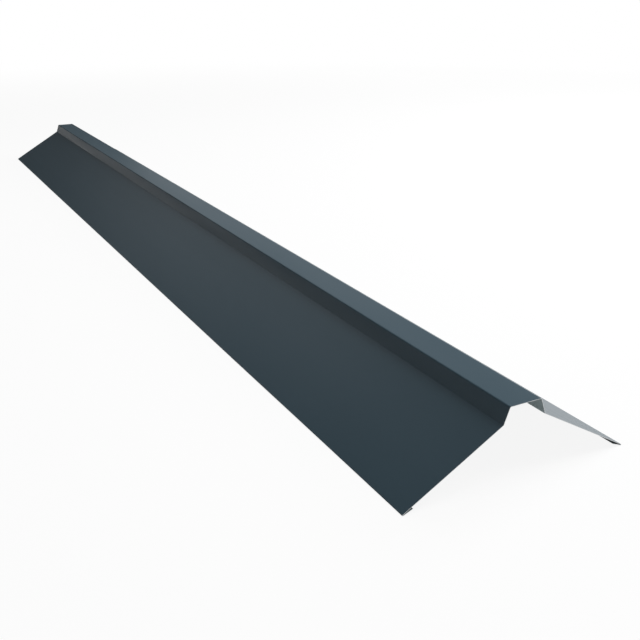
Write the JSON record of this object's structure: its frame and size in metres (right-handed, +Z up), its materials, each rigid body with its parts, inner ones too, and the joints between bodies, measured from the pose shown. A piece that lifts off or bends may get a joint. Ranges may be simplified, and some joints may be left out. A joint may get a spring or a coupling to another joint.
{
  "type": "roof ridge cap",
  "caption": "Flat-topped roof ridge cap folded from painted sheet steel, with sloping wings and hemmed lower edges; it covers the joint where roof slopes meet.",
  "frame": {"origin": "on the floor under the middle of the cap, level with the hem folds that it stands on", "axes": "+X along the ridge, +Y across to one wing, +Z up through the flat crown"},
  "size_m": [2, 0.287, 0.0874],
  "materials": {
    "painted_sheet": "semi-gloss dark blue-grey coil paint, grey back coat, bright cut edges"
  },
  "bodies": {
    "root": {"ridge_cap": "painted_sheet"}
  },
  "joints": []
}
